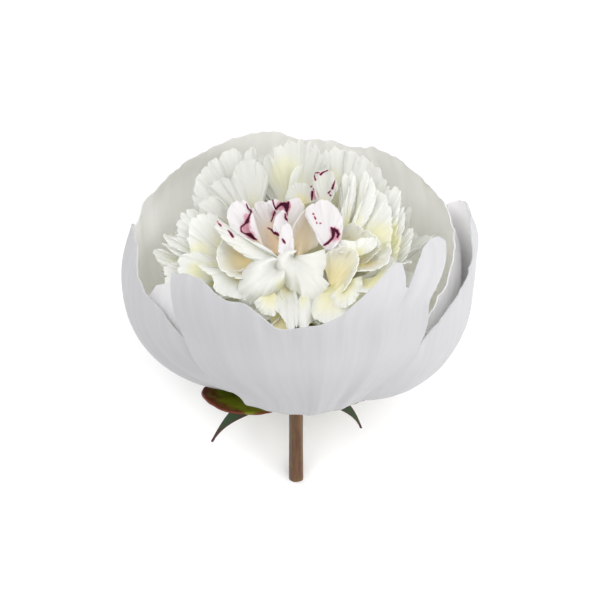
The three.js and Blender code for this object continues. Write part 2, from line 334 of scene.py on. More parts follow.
def coat(tree, shader, colour, rough, grain, strength, depth):
    """Gives the shader its colour, its roughness and, as a slight bump, its grain."""
    tree.links.new(colour, shader.inputs["Base Color"])
    tree.links.new(rough, shader.inputs["Roughness"])
    bump = node(tree, "ShaderNodeBump", Strength=strength, Distance=depth, Height=grain)
    tree.links.new(bump.outputs[0], shader.inputs["Normal"])


def petal_material(name):
    """Petal tissue: veins that run up the petal, warmer towards its foot (partly its own colour and partly
    painted shade), cream where painted shade is marked, and crimson where it is marked.
    """
    tip, cream, orange, through_light = TISSUES[name]
    material, tree, shader = new_material(name)
    foot_tint_and_painted_shade, hue, crimson = (
        node(tree, "ShaderNodeAttribute", {"attribute_name": label}).outputs["Fac"] for label in MARKS
    )
    veins = long_noise(tree, on_sheet(tree), PETAL_CELLS, 4.0, 0.6)
    solid = in_space(tree)
    cloud = noise(tree, solid, PETAL_CLOUD, 3.0)
    grain = noise(tree, solid, CRIMSON_GRAIN, 2.0)
    foot = blend(tree, hue, cream, orange)
    shaded_tip = tuple(VEIN_SHADE * c for c in tip)
    veined = blend(tree, spread(tree, veins, 0.35, 0.7), shaded_tip, tip)
    # The foot's tint, partly painted shade, and the patches of painted cream shade are mixed in here.
    colour = blend(tree, spread(tree, uneven(tree, foot_tint_and_painted_shade, cloud, 0.5), 0.0, 1.0), veined, foot)
    ragged = uneven(tree, crimson, grain, 0.4)
    haloed = blend(tree, spread(tree, ragged, 0.08, 0.45, 0.0, 0.85), colour, CRIMSON_HALO)
    colour = blend(tree, spread(tree, ragged, 0.44, 0.66), haloed, CRIMSON_INK)
    coat(tree, shader, colour, spread(tree, veins, 0.3, 0.7, 0.65, 0.5), veins, 0.2, PETAL_VEIN)
    shader.inputs["Specular IOR Level"].default_value = 0.3
    glow = node(tree, "ShaderNodeBsdfTranslucent", Color=colour)
    mix = node(tree, "ShaderNodeMixShader", i0=through_light, i1=shader.outputs[0], i2=glow.outputs[0])
    tree.links.new(mix.outputs[0], tree.nodes["Material Output"].inputs[0])
    return material


def leaf_material(name):
    """Sepal tissue: green with paler veins, and reddish towards its margins."""
    green, blush, blush_from = LEAVES[name]
    material, tree, shader = new_material(name)
    place = on_sheet(tree)
    parts = node(tree, "ShaderNodeSeparateXYZ", i0=place)
    off_middle = maths(tree, "SUBTRACT", parts.outputs[0], 0.5)
    aside = maths(tree, "MULTIPLY", maths(tree, "ABSOLUTE", off_middle), 2.0)
    cloud = noise(tree, in_space(tree), LEAF_CLOUD, 4.0)
    veins = long_noise(tree, place, LEAF_CELLS, 3.0)
    edge = uneven(tree, maths(tree, "MAXIMUM", aside, parts.outputs[1]), cloud, 0.5)
    pale = tuple(min(1, PALE_VEINS * c) for c in green)
    colour = blend(tree, spread(tree, veins, 0.45, 0.7, 0.0, 0.55), green, pale)
    colour = blend(tree, spread(tree, cloud, 0.5, 0.72, 0.0, 0.5), colour, blush)
    colour = blend(tree, spread(tree, edge, blush_from, blush_from + 0.25), colour, blush)
    coat(tree, shader, colour, spread(tree, cloud, 0.3, 0.7, 0.38, 0.6), veins, 0.4, LEAF_VEIN)
    shader.inputs["Specular IOR Level"].default_value = 0.2
    return material


def stem_material():
    """Brown skin with fibres that run along the stem, and olive patches."""
    material, tree, shader = new_material("stem_skin")
    solid = in_space(tree)
    level = node(tree, "ShaderNodeMapping", i0=solid, Rotation=(np.radians(LEAN_BACK), 0, 0)).outputs[0]
    fibres = long_noise(tree, level, STEM_CELLS, 4.0, 0.65)
    cloud = noise(tree, solid, STEM_CLOUD, 4.0)
    colour = blend(tree, spread(tree, fibres, 0.35, 0.65), STEM_BROWN, STEM_TAN)
    colour = blend(tree, spread(tree, cloud, 0.45, 0.7, 0.0, 0.7), colour, STEM_OLIVE)
    coat(tree, shader, colour, spread(tree, cloud, 0.3, 0.7, 0.4, 0.58), fibres, 0.4, STEM_FIBRE)
    return material


# ---- Guard petals ----

GUARD_GRID = (72, 56)
GUARD_SEED = 50

# Waves and folds: their height (the rim wave's in degrees up the cup), and how many degrees across each is.
RIM_WAVE = (0.45, 8)
FINE_FOLD = (0.05, 2.5)
MARGIN_FOLD = (0.4, 5)
BROAD_FOLD_RUN = 17

# How far the sides and the rim roll outwards, and how many waves the rim's roll has.
SIDE_ROLL = 0.5
RIM_ROLL = 0.35
RIM_ROLL_WAVES = 3

# The polar angles where a petal starts to change from its low layer to its high one, over a run, and to open.
LAYER_TURN = (48, 42)
OPENS_FROM = 88

# Each petal's facing, its layer low and high on the cup, how far it opens outwards and over what run, the
# height of its broad folds, how far it reaches to the left and right of its facing at each polar angle, and
# the polar angle of its rim. Layers and opening are given at even places from the left edge to the right.
GUARDS = {
    "front": dict(
        facing=6, low=(1.4, 0.7, 1.6), high=(0, 0, 0), flare=(9, 9, 9), flare_run=40,
        left=((7, 36), (45, 31), (62, 28), (71, 33), (77.5, 38), (86.5, 41.5), (97.5, 45), (110, 47),
            (122, 48.5)),
        right=((7, 32), (45, 24), (60, 21), (71, 25), (76.5, 28), (84.5, 32.5), (95.5, 36), (108.5, 36),
            (114.5, 40), (122.5, 46), (128, 50)),
        rim=((-1, 121.5), (-0.85, 123), (-0.73, 121.5), (-0.66, 118.5), (-0.57, 116.5), (-0.44, 115.5),
            (-0.27, 106.5), (-0.13, 106.5), (0.16, 111.5), (0.32, 119.5), (0.45, 126), (0.57, 128.5),
            (0.655, 117), (0.71, 126), (0.83, 131), (0.97, 131), (1, 128)),
    ),
    "right": dict(
        facing=84, low=(2.8, -0.5, -0.6, 0.3, 1), high=(1.2, 0.6, 0.6, 0.8, 1),
        flare=(0, 3.5, 5.5), folds=0.4,
        left=((7, 50), (60, 59)),
        right=((7, 45), (60, 52)),
        rim=((-1, 65), (-0.92, 72), (-0.85, 77), (-0.73, 86), (-0.6, 92), (-0.5, 96), (-0.41, 99),
            (-0.29, 103), (-0.19, 107), (-0.12, 110), (0.03, 114), (0.15, 116), (0.27, 116), (0.38, 113.5),
            (0.5, 110), (0.65, 105), (0.85, 96), (1, 84)),
    ),
    "left": dict(
        facing=-88, low=(1, 0.4, -0.2, -1.1, -1.6, -0.2, 2.4, 3, 3.2), high=(1, 0.3, 0.1, 0.5, 1),
        left=((7, 45), (60, 50)),
        right=((7, 76), (45, 74), (60, 68), (102, 50)),
        rim=((-1, 75), (-0.7, 85), (-0.43, 98), (-0.29, 104), (-0.15, 109), (0, 112), (0.18, 113),
            (0.33, 109.5), (0.43, 104), (0.55, 100.5), (0.67, 100), (0.8, 94.5), (1, 80)),
    ),
    "back": dict(
        facing=178, low=(0, 0, 0), high=(0, 0, 0), folds=0.3,
        left=((7, 30), (52, 42)),
        right=((7, 30), (52, 42)),
        rim=((-1, 92), (-0.7, 106), (-0.3, 112), (0, 113), (0.3, 113), (0.7, 107), (1, 94)),
    ),
    "back_right": dict(
        facing=124, low=(3, 2, 2), high=(3.5, 3.2, 2.1, 2, 2), flare=(0, 1, 1),
        left=((7, 50), (52, 64), (86, 76)),
        right=((7, 42), (52, 60)),
        rim=((-1, 86), (-0.97, 91.5), (-0.89, 97.5), (-0.81, 100), (-0.69, 104.5), (-0.57, 108.5),
            (-0.47, 110.5), (-0.28, 110), (0, 112.5), (0.3, 118), (0.6, 115.5), (0.75, 117), (0.9, 115),
            (1, 108)),
    ),
    "back_left": dict(
        facing=-130, low=(3, 2.4, 2), high=(3, 2.4, 2), flare=(3, 4, 4),
        left=((7, 41), (52, 58)),
        right=((7, 41), (52, 58)),
        rim=((-1, 109), (-0.81, 119), (-0.65, 121.5), (-0.43, 122), (-0.15, 119), (0.02, 117.5),
            (0.24, 114), (0.41, 106), (0.7, 100), (1, 92)),
    ),
    "inner_left": dict(
        facing=-48, low=(5, 4.8, 4.6), high=(1.9, 1.8, 1.7), folds=0.3,
        left=((7, 10), (52, 14)),
        right=((7, 10), (52, 14)),
        rim=((-1, 98), (-0.82, 101), (-0.68, 105), (-0.4, 108), (-0.2, 110.5), (0.3, 112), (1, 110)),
    ),
}

# These stand behind others, and their outsides get the lighter copy of the painted shade.
LIGHTER_PAINTED_SHADE_GUARDS = ("back", "back_right", "back_left", "inner_left")


def taller_by(around):
    """How much taller the cup is at this side of it: not at all at the front, and most at the back."""
    back = (1 - np.cos(np.radians(around))) / 2
    return BACK_TALLER * back**2


def cup_point(inset, polar, around, flare=0):
    """A point of the cup that lies this far inside the outermost one."""
    taller = np.where(polar > 90, taller_by(around), 0)
    radius = (BOWL_RADIUS - inset) * np.sin(np.radians(polar)) + flare
    height = BOWL_DEPTH - (BOWL_DEPTH - inset + taller) * np.cos(np.radians(polar))
    a = np.radians(around)
    return np.stack([radius * np.sin(a), -radius * np.cos(a), height], axis=1)


def press_flat(points):
    """Where the petal would sink into the surface, it is pressed flat onto it."""
    lean = np.radians(LEAN_BACK)
    height = REST[2] + points[:, 2] * np.cos(lean) - points[:, 1] * np.sin(lean)
    short = np.maximum(GUARD_THICK / 2 - height, 0)
    return points + short[:, None] * np.array([0, -np.sin(lean), np.cos(lean)])


def guard_shape(seed, facing, low, high, left, right, rim, flare=(0, 0, 0), flare_run=24, folds=0.5):
    width = left[-1][1] + right[-1][1]

    def folded(u, draw, height, run):
        return height * ripple(u, seed + draw, width / run)

    def shape(u, v):
        edge = through(rim, u) + folded(u, 0, *RIM_WAVE)
        polar = ROOT_POLAR + (edge - ROOT_POLAR) * v
        around = facing + u * np.where(u < 0, through(left, polar), through(right, polar))
        up = ease(polar, *LAYER_TURN)
        layer = spaced(low, u) * (1 - up) + spaced(high, u) * up
        open_out = spaced(flare, u) * ease(polar, OPENS_FROM, flare_run)
        fold = folded(u, 3, folds, BROAD_FOLD_RUN) * ease(v, 0, 0.6)
        fold = fold + folded(u, 4, *FINE_FOLD) * ease(v, 0, 0.3)
        fold = fold + folded(u, 5, *MARGIN_FOLD) * ease(v, 0.8, 0.2)
        rolled = SIDE_ROLL * ease(np.abs(u), 0.93, 0.07) * ease(v, 0.2, 0.4)
        rim_roll = RIM_ROLL * (0.6 + 0.4 * ripple(u, seed + 6, RIM_ROLL_WAVES))
        rolled = rolled + rim_roll * ease(v, 0.95, 0.05)
        points = cup_point(LAYER * layer + fold - rolled, polar, around, open_out)
        # The lower part takes the foot colour, which on the outsides is a darker painted shade.
        return press_flat(points), {"foot_tint_and_painted_shade": 1 - ease(v, 0, 0.5)}

    return shape


def make_guards():
    outside = petal_material("guard_outside_painted_shade")
    outside_lighter_painted_shade = petal_material("guard_outside_lighter_painted_shade")
    inside = petal_material("guard_inside")
    for seed, (side, sizes) in enumerate(GUARDS.items(), GUARD_SEED):
        name = "guard_petal_" + side
        piece = sheet(name + "_petal", *GUARD_GRID, guard_shape(seed, **sizes))
        # The outsides carry painted shade, lighter for the guards that stand behind others.
        outer = outside_lighter_painted_shade if side in LIGHTER_PAINTED_SHADE_GUARDS else outside
        finished(piece, GUARD_THICK, [outer, inside], "guard", name)


# ---- Inner petals ----

# The petals that don't show, in rings round the inside of the cup: count, turn, tip (how far out and how high
# at the sides of the bloom), half width, cupping, and how much tips drop to the front and rise to the back.
# Their roots lie this far out and this high, lower in wide rings.
RINGS = (
    (15, 9, (49, 46), 13, 45, 20),
    (11, 28, (42, 53), 12, 50, 21),
    (9, 5, (32, 50), 12, 50, 10),
    (7, 20, (18, 38), 12, 50, 8),
)
WIDE_RING = 40
ROOT_OUT = 7
ROOT_HEIGHT = 15
WIDE_ROOT_HEIGHT = 10
RING_GRID = (30, 26)

# How far they stray from their places (a share of a step), in their tips and in their widths (a share), and
# how far they may be twisted.
RING_STRAY = 0.3
TIP_STRAY = 2
WIDTH_STRAY = 0.15
TWIST = 20

# The petals that show. Places are in the picture: pixels right, pixels down, and millimetres above the dome
# that the petals' tips lie on. Each has its foot and its margin from one side round to the other. Where they
# aren't shown_shape's own, it has how far its middle bows up, how frilled it is, how far up the tint of its
# foot reaches, and that tint's hue from cream (0) to orange (1).
BACK_PETALS = {
    "back_right_broad": dict(foot=(335, 235, -14), frill=1, tint=0.7, margin=(
        (318, 205, -14), (318, 165, -6), (325, 150, -3), (345, 149, -3), (362, 155, -3), (378, 168, -4),
        (388, 186, -6), (390, 215, -14))),
    "back_broad": dict(foot=(298, 235, -14), bow=-2, frill=1, tint=0.7, margin=(
        (262, 205, -12), (260, 178, -5), (264, 160, -1), (274, 149, 0), (287, 142, 0), (302, 140, 0),
        (314, 144, 0), (323, 156, -2), (334, 180, -6), (338, 205, -12))),
    "upper_mid_lobe": dict(foot=(262, 225, -12), tint=0.5, margin=(
        (240, 185, -8), (240, 165, -4), (246, 152, -2), (251, 146, -2), (256, 149, -2), (258, 158, -2),
        (263, 168, -4), (266, 190, -8))),
    "upper_left_lobe": dict(foot=(255, 225, -12), tint=0.5, margin=(
        (218, 190, -8), (217, 170, -4), (219, 155, -1), (226, 146, 0), (234, 147, 0), (240, 153, -1),
        (243, 165, -3), (246, 190, -8))),
    "left_lobed": dict(foot=(250, 228, -11), tint=0.5, margin=(
        (196, 215, -6), (193, 200, -2), (195, 182, 0), (198, 170, 0), (204, 166, -1), (208, 157, 0),
        (214, 156, 0), (219, 163, -1), (222, 178, -4), (226, 195, -8))),
    "upper_left_bright": dict(foot=(256, 225, -9), bow=1, tint=0.5, margin=(
        (233, 200, -4), (231, 184, 0), (235, 168, 2), (245, 160, 2), (255, 160, 2), (263, 167, 1),
        (268, 178, -1), (266, 195, -6))),
    "left_shelf": dict(foot=(248, 222, -7), tint=0.5, margin=(
        (212, 205, -5), (207, 192, -2), (214, 182, 1), (222, 178, 2), (230, 180, 1), (236, 190, -2))),
    "left_bright_margin": dict(foot=(246, 232, -7), tint=0.5, margin=(
        (206, 222, -4), (199, 212, 0), (199, 204, 2), (206, 199, 2), (215, 196, 2), (224, 203, 2),
        (232, 214, 1), (238, 224, -2))),
    "red_tipped": dict(foot=(302, 205, -4), frill=0.6, hue=0.3, margin=(
        (284, 200, -2), (288, 190, 0), (294, 184, 1), (303, 183, 1), (312, 186, 1), (318, 194, 1),
        (319, 201, -1))),
    "crimson_upright": dict(foot=(324, 212, -3), tint=0.4, hue=0.2, margin=(
        (318, 205, 0), (315, 192, 2), (313, 180, 3), (315, 172, 4), (322, 171, 4), (329, 169, 4),
        (335, 178, 4), (338, 187, 3), (334, 194, 2), (330, 204, 0))),
}

LEFT_PETALS = {
    "left_back": dict(foot=(235, 262, -11), margin=(
        (183, 250, -8), (178, 238, -5), (177, 225, -4), (181, 215, -3), (190, 209, -3), (200, 212, -4))),
    "left_outer": dict(foot=(225, 278, -11), tint=0.8, margin=(
        (178, 275, -12), (166, 268, -9), (157, 262, -8), (150, 250, -8), (160, 249, -7), (172, 255, -7),
        (184, 262, -10))),
    "left_low": dict(foot=(225, 282, -10), tint=0.7, margin=(
        (176, 292, -10), (165, 286, -7), (163, 274, -6), (166, 265, -6), (176, 262, -6), (188, 266, -8))),
    "left_point_one": dict(foot=(228, 270, -10), frill=0.6, tint=0.7, margin=(
        (182, 262, -9), (172, 250, -6), (166, 241, -5), (162, 233, -4), (167, 236, -4), (178, 238, -4),
        (190, 240, -6))),
    "left_point_two": dict(foot=(230, 272, -9), frill=0.6, margin=(
        (196, 272, -8), (184, 262, -4), (170, 250, -3), (160, 243, -2), (168, 245, -2), (180, 250, -2),
        (192, 254, -4))),
    "left_long": dict(foot=(236, 262, -10), margin=(
        (196, 262, -6), (190, 250, -3), (188, 235, -1), (190, 222, 0), (197, 215, 0), (207, 213, 0),
        (217, 216, -1), (224, 226, -4))),
    "left_pale": dict(foot=(232, 272, -8), margin=(
        (196, 290, -6), (186, 282, -3), (178, 270, -2), (179, 258, -1), (188, 253, -1), (198, 252, -2),
        (210, 256, -4))),
    "left_ragged": dict(foot=(246, 272, -6), frill=0.7, tint=0.5, hue=0.2, margin=(
        (246, 300, -3), (234, 298, -1), (220, 294, 0), (214, 288, 1), (213, 279, 1), (206, 272, 1),
        (198, 266, 0), (208, 266, -1), (218, 268, -3))),
    "crescent": dict(foot=(258, 262, -4), bow=-4, frill=0.7, tint=0.9, hue=0.75, margin=(
        (236, 243, -2), (226, 240, 0), (220, 243, 1), (217, 252, 2), (217, 262, 2), (222, 270, 2),
        (232, 277, 2), (245, 278, 1), (250, 272, 0))),
    "diagonal": dict(foot=(284, 262, -1), bow=2, frill=0.6, tint=0.2, hue=0.1, margin=(
        (267, 267, 2), (256, 262, 2.5), (246, 257, 3), (236, 250, 3), (226, 242, 3), (219, 234, 3),
        (215, 224, 3), (219, 220, 4), (227, 226, 4), (235, 232, 4), (246, 239, 4), (258, 243, 4),
        (270, 250, 3))),
}

RIGHT_PETALS = {
    "right_rib_one": dict(foot=(345, 232, -8), frill=0.5, margin=(
        (338, 215, -8), (340, 192, -2), (344, 173, 1), (348, 176, 0), (350, 195, -4), (350, 215, -9))),
    "right_rib_three": dict(foot=(352, 235, -8), frill=0.5, margin=(
        (350, 215, -8), (358, 192, -3), (364, 170, 1), (368, 174, 1), (369, 184, -1), (366, 205, -7))),
    "right_rib_two": dict(foot=(345, 235, -6), frill=0.5, tint=0.5, margin=(
        (338, 222, -5), (343, 205, -1), (349, 188, 1), (351, 171, 2), (355, 176, 2), (356, 190, 0),
        (354, 208, -4))),
    "right_outer_tip": dict(foot=(378, 275, -12), tint=0.7, margin=(
        (394, 236, -12), (404, 230, -8), (413, 228, -7), (412, 240, -7), (409, 252, -8), (403, 262, -9),
        (398, 272, -12))),
    "right_outer": dict(foot=(370, 268, -10), margin=(
        (392, 225, -8), (400, 210, -5), (404, 209, -4), (405, 222, -4), (401, 240, -4), (398, 255, -5),
        (394, 268, -7), (386, 278, -10))),
    "right_tall": dict(foot=(365, 262, -11), margin=(
        (376, 205, -10), (388, 190, -6), (399, 188, -4), (401, 198, -3), (399, 214, -3), (397, 235, -4),
        (394, 255, -6), (386, 272, -9))),
    "right_ribbed": dict(foot=(355, 250, -9), bow=1, frill=1, margin=(
        (356, 215, -8), (366, 200, -4), (376, 190, -1), (386, 197, 0), (391, 210, 0), (392, 228, 0),
        (391, 245, -1), (386, 262, -3), (378, 272, -6))),
    "right_blade": dict(foot=(350, 240, -5), frill=0.5, tint=0.5, margin=(
        (348, 232, -4), (357, 210, 0), (366, 192, 2), (371, 177, 3), (375, 187, 3), (376, 196, 2),
        (372, 212, -1), (364, 228, -5))),
    "curled_over": dict(foot=(345, 262, -6), bow=-3, frill=1, tint=0.9, hue=0.2, margin=(
        (334, 238, -3), (345, 226, 0), (353, 223, 2), (366, 230, 3), (379, 240, 3), (381, 247, 2),
        (374, 256, -1), (364, 264, -5))),
    "yellow_hollow": dict(foot=(362, 262, -5), bow=-3, frill=1, tint=0.8, hue=0.5, margin=(
        (352, 272, 0), (362, 271, 2), (375, 270, 2), (388, 262, 1), (391, 250, 0), (388, 240, -1),
        (378, 246, -3))),
    "right_low_one": dict(foot=(356, 280, -6), bow=1, tint=0.9, margin=(
        (338, 314, -6), (348, 315, -5), (362, 304, -4), (373, 291, -4), (378, 276, -5))),
    "right_low_two": dict(foot=(368, 284, -4), frill=0.6, tint=0.7, hue=0.1, margin=(
        (352, 290, -1), (362, 292, 1), (374, 292, 1), (386, 282, 1), (396, 268, 0), (392, 256, -3))),
    "right_low_three": dict(foot=(332, 284, -5), bow=2, frill=0.7, tint=0.9, hue=0.1, margin=(
        (312, 300, -4), (311, 312, -3), (318, 321, -2), (332, 323, -2), (344, 316, -2), (350, 304, -2),
        (352, 292, -3))),
    "right_low_four": dict(foot=(346, 280, -3.5), bow=2, frill=0.6, tint=0.8, hue=0.1, margin=(
        (330, 296, -2), (334, 306, -1), (345, 308, 0), (356, 300, 0), (362, 288, -1), (362, 276, -2))),
    "cream_hollow": dict(foot=(330, 286, -4), bow=-3, frill=0.7, tint=0.95, hue=0.45, margin=(
        (323, 264, 1), (327, 253, 2), (337, 248, 3), (349, 247, 3), (357, 252, 3), (359, 262, 3),
        (354, 275, 2), (346, 288, 1), (336, 298, 0))),
    "pale_lip": dict(foot=(354, 258, -2.5), bow=1, tint=0.5, hue=0.1, margin=(
        (332, 251, 1), (335, 244, 2), (343, 240, 3), (353, 241, 3), (364, 238, 3), (375, 238, 3),
        (377, 245, 2), (370, 252, 0))),
}

HEART_PETALS = {
    "crimson_back": dict(foot=(286, 244, -10), frill=0.5, tint=0.5, hue=0.7, margin=(
        (264, 222, -4), (264, 207, 0), (269, 200, 1), (275, 199, 1), (281, 202, 1), (289, 200, 1),
        (297, 198, 1), (303, 202, 0), (304, 210, -3), (300, 222, -9))),
    "orange_hollow": dict(foot=(284, 258, -3), bow=-4, frill=0.5, tint=0.85, hue=1, margin=(
        (257, 246, -1), (251, 237, -2), (249, 226, -2), (250, 213, 0), (255, 204, 2), (263, 201, 3),
        (271, 204, 2), (275, 211, 2), (276, 222, 1), (281, 236, 0), (286, 248, 0))),
    "crimson_middle": dict(foot=(285, 246, -2), frill=0.5, tint=0.4, hue=0.4, margin=(
        (273, 230, 3), (274, 221, 4), (278, 214, 4), (283, 210, 4), (286, 213, 4), (287.5, 220, 3),
        (289, 231, 2))),
    "beige_hollow": dict(foot=(298, 258, -2), bow=-5, frill=0.4, tint=1.1, hue=0.5, margin=(
        (292, 248, 2), (291, 236, 2), (293, 227, 3), (299, 217, 3), (306, 209, 3), (313, 208, 2),
        (318, 218, 1), (320, 232, 0), (317, 246, -1))),
    "crimson_left": dict(foot=(264, 248, -1.5), frill=0.6, tint=0.4, hue=0.4, margin=(
        (247, 242, 2), (236, 236, 2), (229, 224, 3), (227, 212, 4), (233, 203, 4), (240, 200, 5),
        (246, 202, 5), (250, 208, 5), (252.5, 212, 5), (250, 219, 5), (249, 227, 4), (253, 234, 4),
        (258, 240, 3))),
    "mauve_arch": dict(foot=(328, 252, 0.5), bow=1, frill=0.4, tint=0, margin=(
        (319, 243, 3), (313, 229, 4), (305, 214.5, 4), (306, 209, 5), (312, 204, 5), (321, 200, 6),
        (330, 202, 6), (338, 210, 6), (343, 221, 5), (342.5, 230, 5), (341, 238, 4), (335, 247, 3))),
    "small_bright": dict(foot=(288, 260, 1), bow=1, frill=0.4, tint=0.2, margin=(
        (278, 252, 4), (279, 240, 5), (281, 230, 6), (285, 224, 6), (290, 225, 6), (293, 236, 5),
        (294, 248, 4))),
}

FRONT_PETALS = {
    "front_low": dict(foot=(303, 288, -4.5), bow=2, frill=0.5, tint=0.55, margin=(
        (297, 305, -5), (297, 318, -4), (300, 328, -4), (308, 326, -4), (312, 315, -4), (313, 302, -5))),
    "front_small_left": dict(foot=(270, 288, -4.5), bow=2, frill=0.5, tint=0.8, hue=0.1, margin=(
        (254, 302, -4), (258, 310, -4), (266, 315, -4), (274, 316, -4), (278, 309, -4), (280, 299, -5))),
    "front_small_middle": dict(foot=(287, 262, -13.5), bow=3, frill=0.35, tint=0.35, hue=0.25, margin=(
        (274, 299, -5), (275, 308, -3), (280, 315, -3), (285, 322, -3), (288, 329, -3), (296, 328, -3),
        (298, 318, -3), (299, 307, -3), (299, 299, -6))),
    "white_cushion": dict(foot=(283, 262, -2), bow=6, frill=0.4, tint=0, margin=(
        (272, 256, 0), (262, 258, 1), (252, 262, 1), (246, 268, 0.5), (241, 277, -1), (238, 288, -2),
        (239, 297, -4), (246, 303, -6), (256, 305, -7), (266, 303, -8), (276, 297, -8), (283, 289, -7),
        (286, 280, -5))),
    "white_wing": dict(foot=(294, 256, 1), bow=2.5, frill=0.4, tint=0, margin=(
        (297, 251, 3), (291, 249, 3), (284, 251, 3), (278, 256, 3), (275, 263, 2), (277, 271, 0),
        (281, 278, -2.5), (285, 285, -4.5), (292, 291, -5), (300, 295, -5), (304, 304, -5), (317, 297, -3),
        (329, 285, -1), (323, 277, 0.5), (326, 263, 1), (325, 249, 2))),
    # Painted shade: a deep petal tinted all over, so that the shade beneath the front petals reads olive.
    "front_hollow_painted_shade": dict(foot=(281, 304, -8), frill=0.4, tint=2, hue=0.4, margin=(
        (270, 314, -10.5), (272, 324, -9.5), (278, 332, -9), (286, 332, -9), (290, 322, -9.5))),
}

# Each group of petals is one piece, of one tissue.
PETAL_GROUPS = (
    ("back", BACK_PETALS, "back_tissue_painted_shade"),
    ("left", LEFT_PETALS, "inner_tissue"),
    ("right", RIGHT_PETALS, "inner_tissue"),
    ("heart", HEART_PETALS, "heart_tissue"),
    ("front", FRONT_PETALS, "inner_tissue"),
)
FIRST_SEED = 211
SEED_STEP = 11

# Petals with crimson have a finer grid, which keeps it sharp.
PLAIN_GRID = (60, 40)
CRIMSON_GRID = (96, 64)

# Crimson strokes on the margins: places in the picture's pixels with the stroke's half width there.
CRIMSON = {
    "crimson_left": (
        ((246, 204, 0.4), (248, 208.5, 0.8), (251.8, 211.2, 0.8), (250, 214.5, 0.6), (248.5, 218, 1.2),
         (247.2, 221.5, 2), (244.5, 224.5, 0.8), (241, 227, 0.6), (241, 231.5, 0.7), (243, 233, 0.6)),
        ((244, 233.5, 0.6), (247.5, 234.5, 1.4), (250, 235, 2.2), (253, 238, 1.4), (257, 240, 0.6)),
    ),
    "diagonal": (
        ((217, 221, 0.5), (221, 226, 0.8)),
        ((228, 230.5, 0.5), (230.5, 233.5, 0.9), (233, 237, 1)),
    ),
    "crimson_back": (
        ((281, 203.5, 1), (284.5, 204.5, 2.6), (286.5, 206.5, 3), (288, 202.5, 1.2)),
        ((281, 204.5, 1.4), (278, 206.5, 1.2), (276.4, 209, 1)),
        ((286.5, 209, 1.8), (286.5, 213, 1), (285.7, 217, 0.8)),
        ((272.5, 198.5, 0.5), (273.8, 204.6, 0.6), (275.5, 209, 0.8)),
    ),
    "crimson_middle": (
        ((285.5, 214, 0.7), (285.5, 218, 0.9), (288.5, 221.5, 0.7)),
        ((275, 232, 0.5), (277, 234, 1.2), (279, 236, 0.6)),
    ),
    "orange_hollow": (
        ((276.4, 209, 1), (273.7, 215.4, 0.8), (271, 221.6, 0.5)),
        ((268, 228, 0.6), (271, 229.5, 0.7), (275, 233, 1.5), (279, 236, 0.6)),
    ),
    "small_bright": (
        ((282.5, 239.5, 0.8), (284, 242, 1.1), (285, 243.5, 0.5)),
    ),
    "mauve_arch": (
        ((313, 214, 0.7), (314, 214.5, 0.6)),
        ((314.5, 217, 0.6), (315.6, 219, 0.8)),
        ((316.5, 222.5, 0.5), (317, 223.5, 0.6)),
        ((320, 223.5, 0.6), (321, 223.6, 0.5)),
        ((331.5, 228, 1), (333.5, 231, 2.3), (333.5, 235, 1.7), (332.5, 238.5, 1.1), (330, 241, 1.1),
         (328, 243, 1.2), (325.5, 244.5, 1), (323.5, 245.5, 0.7)),
        ((334, 229.5, 1.7), (337, 231.5, 1.8), (338.7, 234.5, 1.4), (337.5, 237.5, 0.9)),
    ),
    "crimson_upright": (
        ((315.5, 180, 0.8), (314.5, 177, 0.5), (314.3, 174, 0.5), (316, 172.5, 0.5), (319, 172.8, 0.5)),
        ((320.5, 174.5, 1), (322.5, 172.5, 0.8), (325, 171.5, 0.5), (327.5, 170.5, 0.6)),
        ((335, 181, 0.5), (333.5, 185, 0.9), (332.5, 188.5, 1.1)),
        ((330.5, 191, 0.5), (328.8, 193, 0.8)),
        ((330, 195, 0.6), (331, 195.6, 0.6)),
    ),
    "red_tipped": (
        ((311, 187, 0.6), (313, 185.5, 0.7), (315, 185.8, 0.5)),
        ((313.5, 189, 0.6), (315.5, 190, 1.1), (316, 192, 0.9)),
        ((312.5, 192, 1.1), (312.3, 196, 1.1), (312, 200, 0.6)),
    ),
}

# Painted shade: where a petal is tinted cream away from its foot, in its creases and the gaps where shade
# falls: place and radius.
PAINTED_CREAM_SHADE = {
    "white_cushion": ((283, 287, 12), (275, 298, 9), (264, 304, 7)),
    "front_small_middle": ((284, 289, 16),),
    "back_broad": ((287, 176, 28),),
    "back_right_broad": ((330, 180, 18), (372, 205, 22)),
    "left_long": ((200, 252, 17),),
    "left_pale": ((196, 272, 14),),
    "right_ribbed": ((378, 238, 24),),
    "right_tall": ((392, 236, 22),),
    "right_outer": ((398, 250, 18),),
}
PAINTED_CREAM_SHADE_SHARE = 0.6

# Where the tissue round the strokes is flushed pink: place and radius.
FLUSH = {
    "crimson_left": ((245, 228, 9), (247, 217, 6), (250, 235, 7)),
    "crimson_back": ((281, 206, 8),),
    "orange_hollow": ((274, 214, 5), (251, 232, 5)),
    "mauve_arch": ((335, 237, 8),),
    "red_tipped": ((315, 195, 7),),
}
FLUSH_SHARE = 0.32

# Margins of the petals that show: pixels of margin for each wave, and the depths of the notches, of the
# ragged line and of the fine one in it, as shares of the petal's length.
WAVE_PIXELS = 9
NOTCH = 0.07
RAGGED = 0.03
FINE_RAGGED = 0.012

# Heights of their ruffles, the broad ones, the fine ones and the roll of the margin.
CRINKLE = 0.8
FINE_CRINKLE = 0.45
MARGIN_ROLL = 0.6

# Steps aside over which a margin is softened towards the foot, and how far past its reach a tint fades.
SOFT_STEPS = (-0.12, -0.06, 0, 0.06, 0.12)
TINT_FADE = 1.35

# A point past this share of the way to the guard petals is held within the stretch that is left.
CLOSE_TO_CUP = 0.85
STRETCH_LEFT = 0.15


